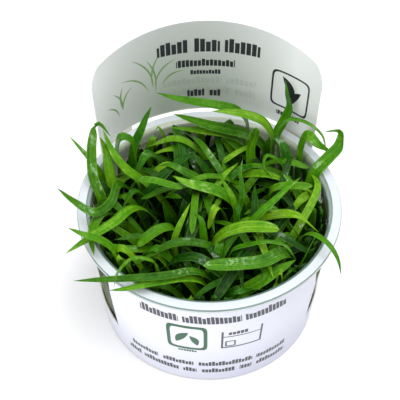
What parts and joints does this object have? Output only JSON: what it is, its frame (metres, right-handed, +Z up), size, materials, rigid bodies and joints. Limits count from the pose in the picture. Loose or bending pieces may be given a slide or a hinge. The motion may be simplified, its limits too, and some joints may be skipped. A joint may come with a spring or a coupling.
{
  "type": "potted dwarf sagittaria",
  "caption": "Clear flanged plant cup with a wrap-round label card that stands up behind it, a bed of growing gel, and a tangle of grass-like dwarf sagittaria leaves.",
  "frame": {"origin": "centre of the cup's flat base, on the surface that it stands on", "axes": "+Z up along the cup's axis, -Y towards the front of the label, +X to the right as seen from the front"},
  "size_m": [0.0926, 0.0904, 0.0854],
  "materials": {
    "cup": "clear moulded plastic, glossy",
    "label": "white coated card, satin, with plain grey and green print",
    "gel": "moist olive-brown growing gel",
    "leaf": "living leaf, satin with a soft gloss and fine lengthwise veins",
    "young_leaf": "living leaf, darker green, satin"
  },
  "bodies": {
    "root": {"cup": "cup", "label_card": "label", "growing_gel": "gel", "leaf_back_wall_leaf": "leaf", "leaf_back_left_lance": "leaf", "leaf_back_left_arch": "leaf", "leaf_left_tall_fold": "leaf", "leaf_left_rim_broad": "leaf", "leaf_left_side_broad": "leaf", "leaf_left_cross": "leaf", "leaf_left_fold": "leaf", "leaf_left_back_tip": "leaf", "leaf_dark_middle": "leaf", "leaf_grey_middle": "leaf", "leaf_pale_left": "leaf", "leaf_cut_left": "leaf", "leaf_left_long": "leaf", "leaf_sagging_left": "leaf", "leaf_left_tip": "leaf", "leaf_big_bright": "leaf", "leaf_right_dark": "leaf", "leaf_right_green": "leaf", "leaf_right_pale": "leaf", "leaf_right_tip_up": "leaf", "leaf_under_blunt": "leaf", "leaf_back_arc": "leaf", "leaf_back_broad": "leaf", "leaf_right_upright": "leaf", "leaf_back_bundle": "leaf", "leaf_top_left": "leaf", "leaf_back_right_fold": "leaf", "leaf_curled_leaf": "leaf", "leaf_s_curve": "leaf", "leaf_narrow_bright": "leaf", "leaf_striped_upright": "leaf", "leaf_folded_left": "leaf", "leaf_thin_upright": "leaf", "leaf_front_right_broad": "leaf", "leaf_front_cut": "leaf", "leaf_front_right_arc": "leaf", "leaf_front_left_low": "leaf", "leaf_front_left_long": "leaf", "leaf_rim_arch": "leaf", "leaf_right_overhang": "leaf", "leaf_right_arch": "leaf", "leaf_right_fold": "leaf", "leaf_right_broad": "leaf", "leaf_bright_blunt": "leaf", "leaf_thin_long_right": "leaf", "young_plant_01": "young_leaf", "young_plant_02": "young_leaf", "young_plant_03": "young_leaf", "young_plant_04": "young_leaf", "young_plant_05": "young_leaf", "young_plant_06": "young_leaf", "young_plant_07": "young_leaf", "young_plant_08": "young_leaf", "young_plant_09": "young_leaf", "young_plant_10": "young_leaf", "young_plant_11": "young_leaf"}
  },
  "joints": []
}
